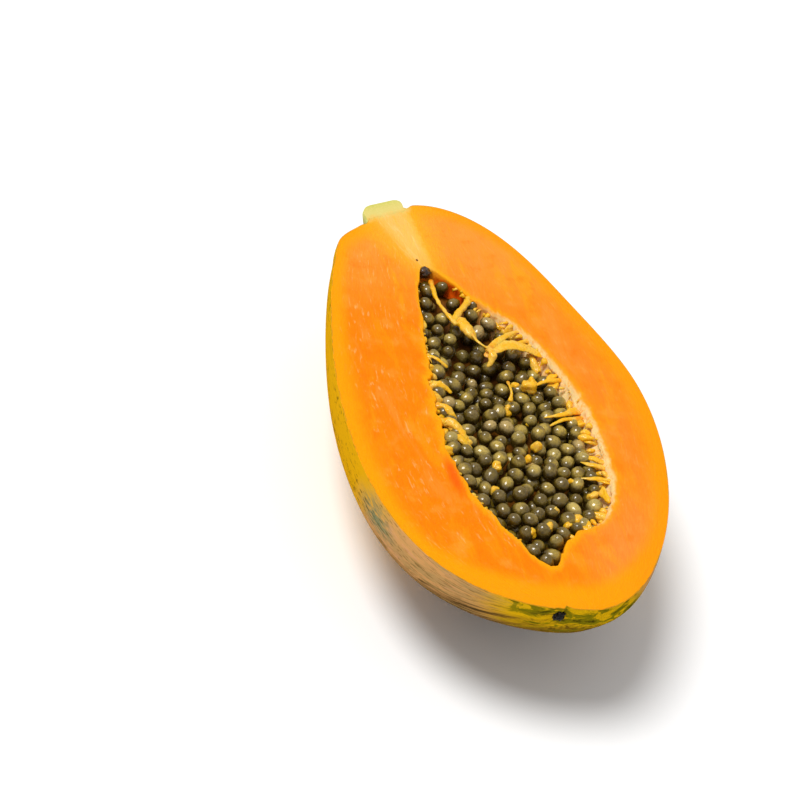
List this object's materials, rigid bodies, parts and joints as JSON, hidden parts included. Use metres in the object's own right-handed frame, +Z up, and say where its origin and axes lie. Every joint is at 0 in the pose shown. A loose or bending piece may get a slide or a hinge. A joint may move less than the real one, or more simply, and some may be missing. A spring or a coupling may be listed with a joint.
{
  "type": "half papaya",
  "caption": "Half of a ripe papaya cut lengthwise, lying on its back, with orange flesh, a seed-filled cavity and a short stem stub.",
  "frame": {"origin": "middle of the underside's bounding rectangle, on the surface that the half lies on", "axes": "+Z up, out of the cut face; +X from the stem end to the blossom end; +Y across the cut face, to the right seen with the stem end away"},
  "size_m": [0.1824, 0.0986, 0.0462],
  "materials": {
    "flesh": "moist orange flesh with a soft gloss",
    "skin": "waxy yellow-orange skin with green specks and patches",
    "seeds": "olive-brown seeds in a wet glossy coat",
    "placenta": "moist yellow strands and tufts",
    "stub": "pale yellow-green stalk, dull"
  },
  "bodies": {
    "root": {"fruit_half": "flesh", "seeds": "seeds", "stem_stub": "stub"}
  },
  "joints": []
}
